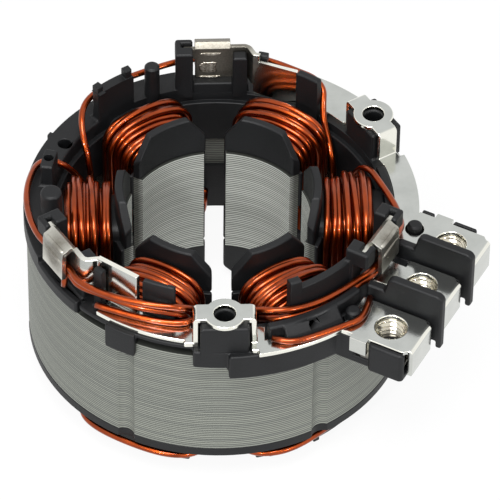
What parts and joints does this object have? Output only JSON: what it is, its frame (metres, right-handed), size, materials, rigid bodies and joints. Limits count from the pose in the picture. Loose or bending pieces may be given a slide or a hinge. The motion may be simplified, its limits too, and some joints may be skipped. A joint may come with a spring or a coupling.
{
  "type": "wound stator",
  "caption": "Wound stator of a small brushless motor: laminated steel ring, enamelled copper coils, black moulded insulators and tinned busbars running to a side terminal block.",
  "frame": {"origin": "centre of the rotor bore at the laminated core's lower face", "axes": "+Z along the bore axis, up towards the busbars and terminals; the terminal block points along 330 degrees, measured anticlockwise from +X"},
  "size_m": [0.0627, 0.0555, 0.0341],
  "materials": {
    "lamination_steel": "matte sheared sheet edges",
    "black_nylon": "matte, glass filled",
    "enamelled_copper": "gloss clear enamel",
    "tinned_copper": "satin tin plate",
    "nickel_steel": "bright nickel plate"
  },
  "bodies": {
    "root": {"laminated_core": "lamination_steel", "top_insulator": "black_nylon", "bottom_insulator": "black_nylon", "coil_1": "enamelled_copper", "coil_2": "enamelled_copper", "coil_3": "enamelled_copper", "coil_4": "enamelled_copper", "coil_5": "enamelled_copper", "coil_6": "enamelled_copper", "busbar_front": "tinned_copper", "busbar_middle": "tinned_copper", "busbar_rear": "tinned_copper", "terminal_nut_1": "nickel_steel", "terminal_nut_2": "nickel_steel", "terminal_nut_3": "nickel_steel", "lead_rear_left": "enamelled_copper", "lead_rear_right": "enamelled_copper", "lead_left": "enamelled_copper", "lead_front_left_upper": "enamelled_copper", "lead_front_left_middle": "enamelled_copper", "lead_front_left_lower": "enamelled_copper", "lead_front_right_upper": "enamelled_copper", "lead_front_right_lower": "enamelled_copper", "lead_front_right_rim": "enamelled_copper", "lead_right": "enamelled_copper", "crossover_1": "enamelled_copper", "crossover_2": "enamelled_copper", "crossover_3": "enamelled_copper"}
  },
  "joints": []
}
